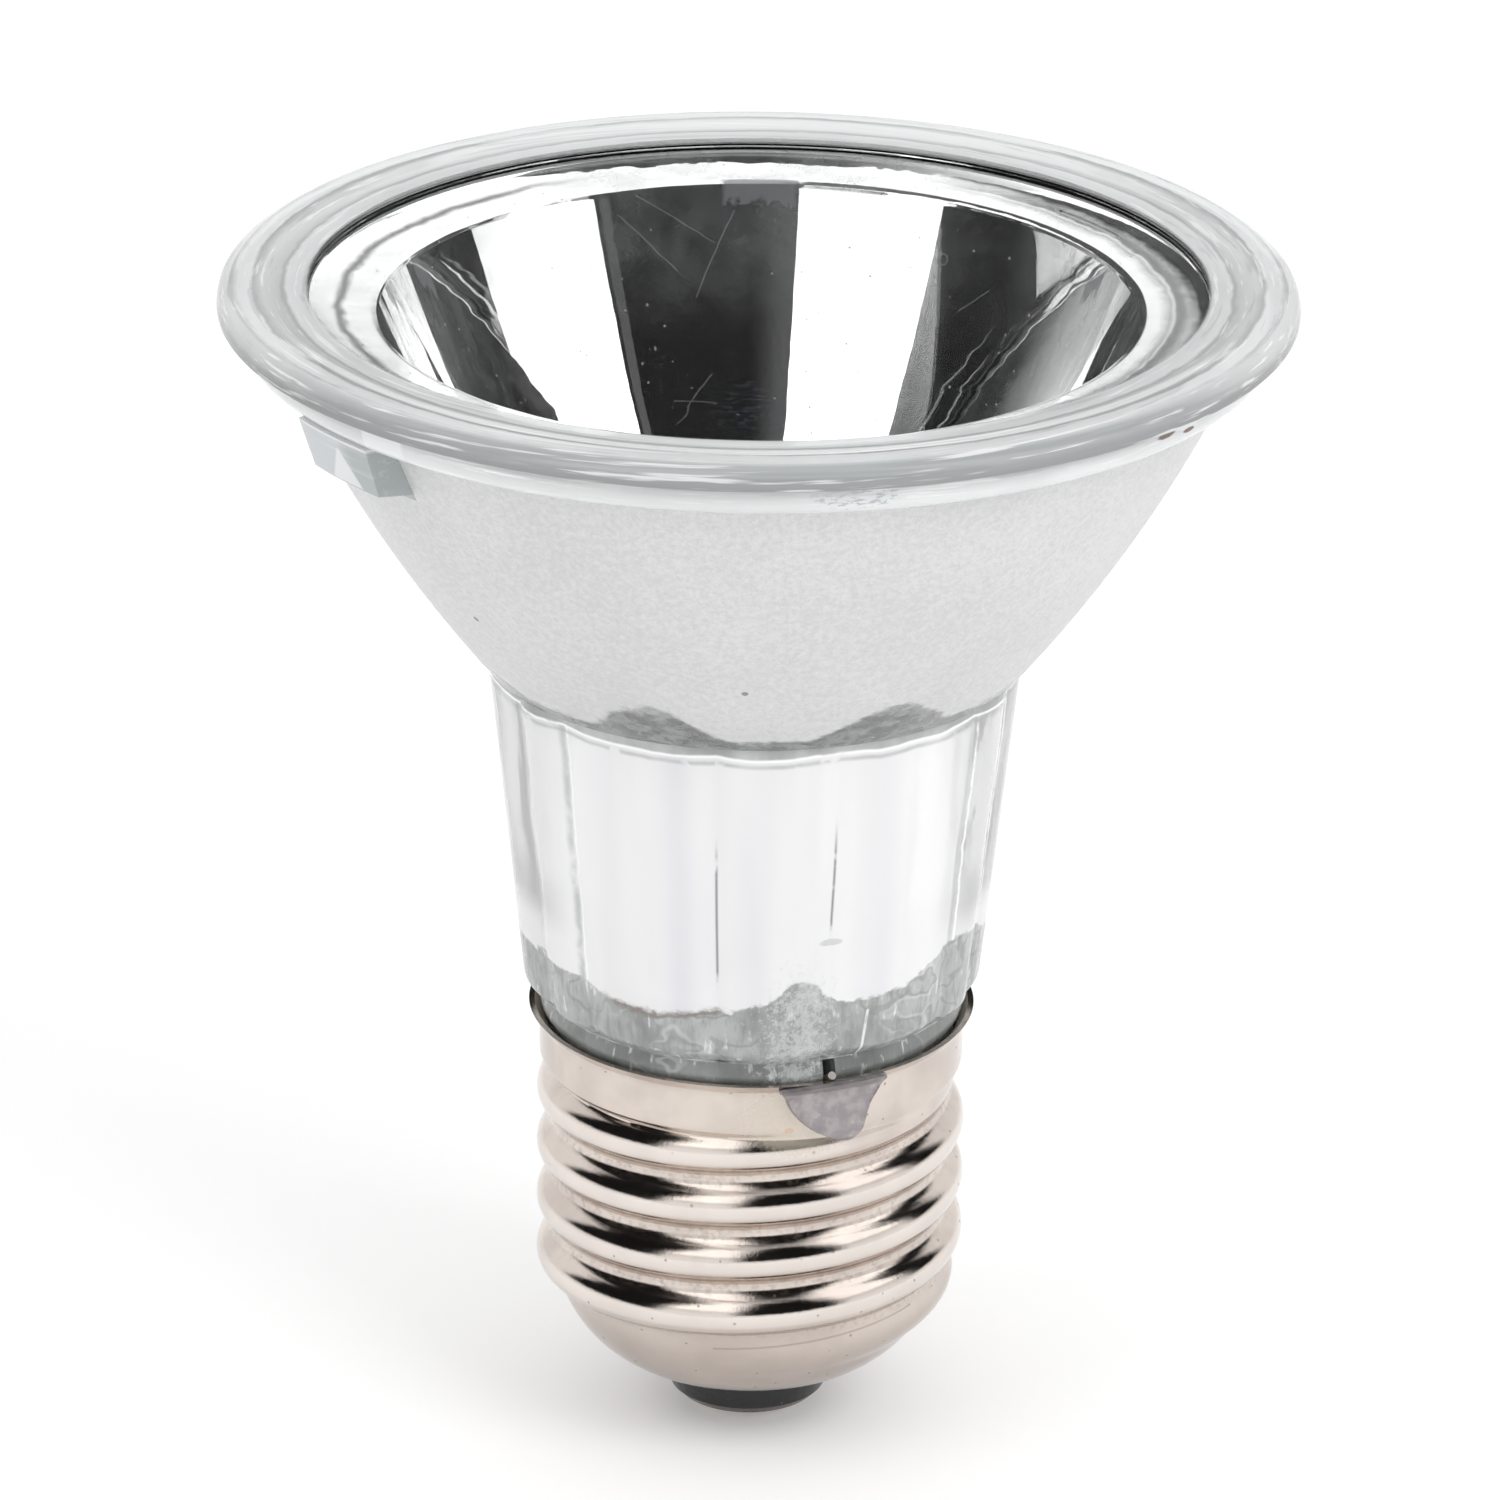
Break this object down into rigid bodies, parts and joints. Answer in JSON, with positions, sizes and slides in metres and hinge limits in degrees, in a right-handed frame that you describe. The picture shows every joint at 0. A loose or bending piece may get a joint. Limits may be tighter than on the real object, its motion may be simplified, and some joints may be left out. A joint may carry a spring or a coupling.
{
  "type": "reflector heat lamp bulb",
  "caption": "Reflector heat bulb with a clear flat lens, a frosted pressed-glass bowl on a lobed neck and a metal screw cap, for warming a reptile enclosure.",
  "frame": {"origin": "lowest point of the centre contact, on the lamp's axis", "axes": "+Z along the lamp's axis from the centre contact to the lens, -Y the side with the soldered lead, +X to its right"},
  "size_m": [0.0646, 0.0646, 0.0739],
  "materials": {
    "lens_glass": "clear pressed borosilicate glass, polished, with small edge chips",
    "reflector_glass": "fine frosted glass outside, aluminised mirror inside, uncoated clear band at the neck's foot",
    "quartz": "clear fused quartz",
    "tungsten": "grey drawn tungsten",
    "foil_metal": "matt rolled molybdenum foil",
    "pin_metal": "drawn molybdenum rod",
    "clip_steel": "stamped stainless spring steel",
    "ferrule_metal": "plated steel tube",
    "cap_metal": "rolled brass with satin nickel plating, warm grey",
    "black_glass": "black glass, glossy with fine pits",
    "eyelet_metal": "stamped brass, nickel plated",
    "solder": "dull grey soft solder",
    "cement": "matt cream lamp cement",
    "lead_wire": "drawn nickel wire"
  },
  "bodies": {
    "root": {"front_lens": "lens_glass", "reflector_body": "reflector_glass", "capsule_envelope": "quartz", "filament_coil": "tungsten", "filament_lead_left": "tungsten", "filament_lead_right": "tungsten", "foil_left": "foil_metal", "foil_right": "foil_metal", "capsule_pin_left": "pin_metal", "capsule_pin_right": "pin_metal", "capsule_clip": "clip_steel", "ferrule_left": "ferrule_metal", "ferrule_right": "ferrule_metal", "screw_shell": "cap_metal", "base_insulator": "black_glass", "contact_eyelet": "eyelet_metal", "contact_solder": "solder", "side_solder": "solder", "base_cement": "cement", "side_lead_wire": "lead_wire", "centre_lead_wire": "lead_wire"}
  },
  "joints": []
}
